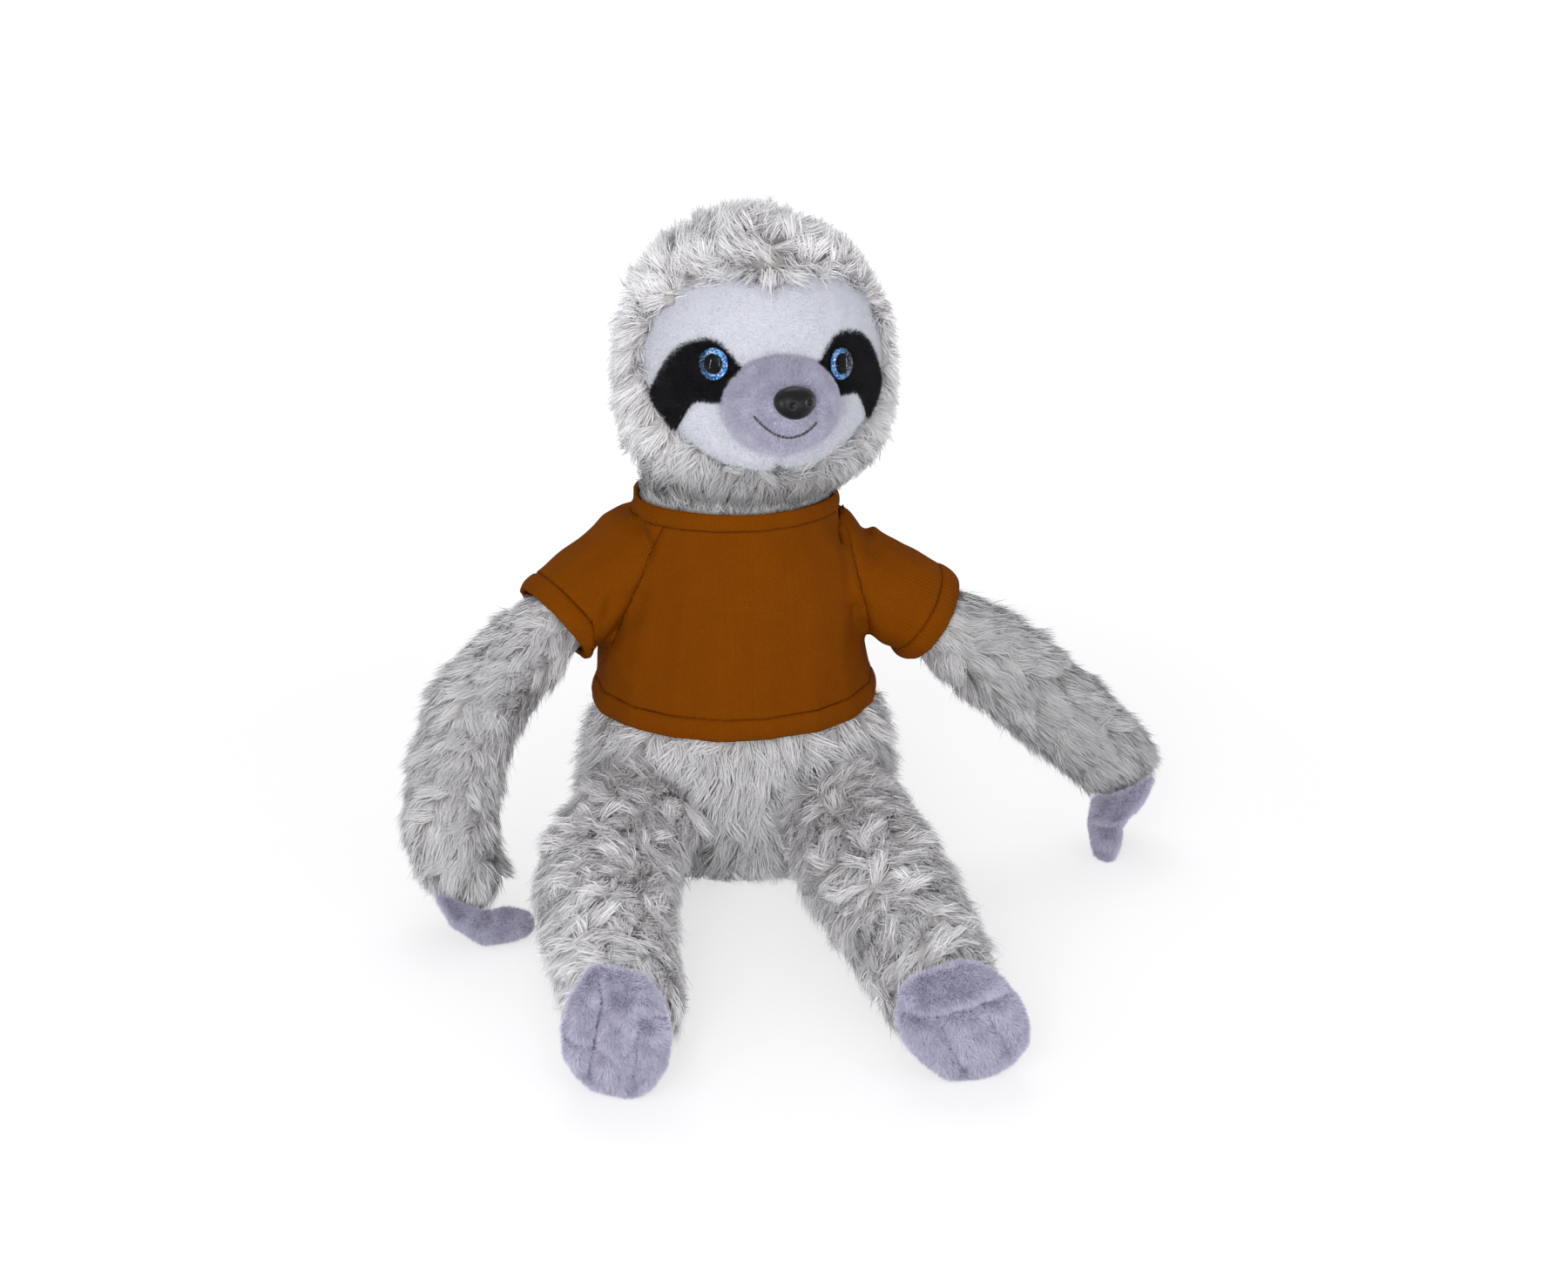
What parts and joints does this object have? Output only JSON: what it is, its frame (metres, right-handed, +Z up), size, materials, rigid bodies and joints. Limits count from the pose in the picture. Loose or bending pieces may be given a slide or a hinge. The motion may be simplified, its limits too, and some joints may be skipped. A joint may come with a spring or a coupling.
{
  "type": "plush sloth",
  "caption": "Seated plush sloth with long furry arms and legs, a white face with dark eye patches, a lilac muzzle, hands and feet, and a short-sleeved knit shirt",
  "frame": {"origin": "on the surface that it sits on, under the middle of its seat", "axes": "it faces -Y, +X is its left-hand side (right of the picture) and +Z is up"},
  "size_m": [0.3127, 0.2728, 0.2664],
  "materials": {
    "fur": "matte",
    "filling": "matte",
    "pellets": "matte",
    "face": "matte",
    "lilac": "matte",
    "black": "matte",
    "shirt": "matte",
    "lens": "gloss",
    "glitter": "gloss",
    "nose": "satin",
    "washer": "satin",
    "thread": "satin"
  },
  "bodies": {
    "torso": {"torso_fur": "fur", "torso_filling": "filling", "seat_pellet_bag": "pellets", "shirt_front": "shirt", "shirt_back": "shirt", "shirt_hem": "shirt", "shirt_collar": "shirt"},
    "head": {"head_fur": "fur", "muzzle": "lilac", "muzzle_filling": "filling", "nose": "nose", "nose_washer": "washer", "mouth_stitch": "thread", "eye_right": "lens", "eye_glitter_right": "glitter", "eye_washer_right": "washer", "eye_patch_right": "black", "eye_left": "lens", "eye_glitter_left": "glitter", "eye_washer_left": "washer", "eye_patch_left": "black", "face_panel": "face", "head_filling": "filling"},
    "right_arm": {"arm_fur_right": "fur", "arm_filling_right": "filling", "sleeve_right": "shirt", "sleeve_cuff_right": "shirt"},
    "left_arm": {"arm_fur_left": "fur", "arm_filling_left": "filling", "sleeve_left": "shirt", "sleeve_cuff_left": "shirt"},
    "right_hand": {"hand_right": "lilac", "hand_filling_right": "filling"},
    "left_hand": {"hand_left": "lilac", "hand_filling_left": "filling"},
    "right_leg": {"leg_fur_right": "fur", "leg_filling_right": "filling"},
    "left_leg": {"leg_fur_left": "fur", "leg_filling_left": "filling"},
    "right_foot": {"foot_right": "lilac", "foot_filling_right": "filling"},
    "left_foot": {"foot_left": "lilac", "foot_filling_left": "filling"}
  },
  "joints": [
    {"name": "neck_turn", "type": "hinge", "parent": "torso", "child": "head", "pos_m": [0.0065, -0.001, 0.157], "axis": [0, 0, 1], "range_deg": [-35, 35], "stiffness_Nm_per_rad": 0.6},
    {"name": "right_shoulder", "type": "hinge", "parent": "torso", "child": "right_arm", "pos_m": [-0.04, 0, 0.129], "axis": [-0.704, 0.7102, 0], "range_deg": [0, 50], "stiffness_Nm_per_rad": 0.4},
    {"name": "left_shoulder", "type": "hinge", "parent": "torso", "child": "left_arm", "pos_m": [0.04, 0, 0.1215], "axis": [-0.0946, -0.9955, 0], "range_deg": [0, 50], "stiffness_Nm_per_rad": 0.4},
    {"name": "right_wrist", "type": "hinge", "parent": "right_arm", "child": "right_hand", "pos_m": [-0.1136, -0.07296, 0.02154], "axis": [-0.704, 0.7102, 0], "range_deg": [-20, 25], "stiffness_Nm_per_rad": 0.1},
    {"name": "left_wrist", "type": "hinge", "parent": "left_arm", "child": "left_hand", "pos_m": [0.16128, -0.01152, 0.0311], "axis": [-0.0946, -0.9955, 0], "range_deg": [0, 25], "stiffness_Nm_per_rad": 0.1},
    {"name": "right_hip", "type": "hinge", "parent": "torso", "child": "right_leg", "pos_m": [-0.036, -0.03, 0.028], "axis": [-1, 0, 0], "range_deg": [0, 15], "stiffness_Nm_per_rad": 0.5},
    {"name": "left_hip", "type": "hinge", "parent": "torso", "child": "left_leg", "pos_m": [0.036, -0.03, 0.028], "axis": [-1, 0, 0], "range_deg": [0, 25], "stiffness_Nm_per_rad": 0.5},
    {"name": "right_ankle", "type": "hinge", "parent": "right_leg", "child": "right_foot", "pos_m": [-0.05828, -0.18923, 0.02106], "axis": [1, 0, 0], "range_deg": [0, 30], "stiffness_Nm_per_rad": 0.12},
    {"name": "left_ankle", "type": "hinge", "parent": "left_leg", "child": "left_foot", "pos_m": [0.05547, -0.18923, 0.02106], "axis": [1, 0, 0], "range_deg": [0, 30], "stiffness_Nm_per_rad": 0.12}
  ]
}
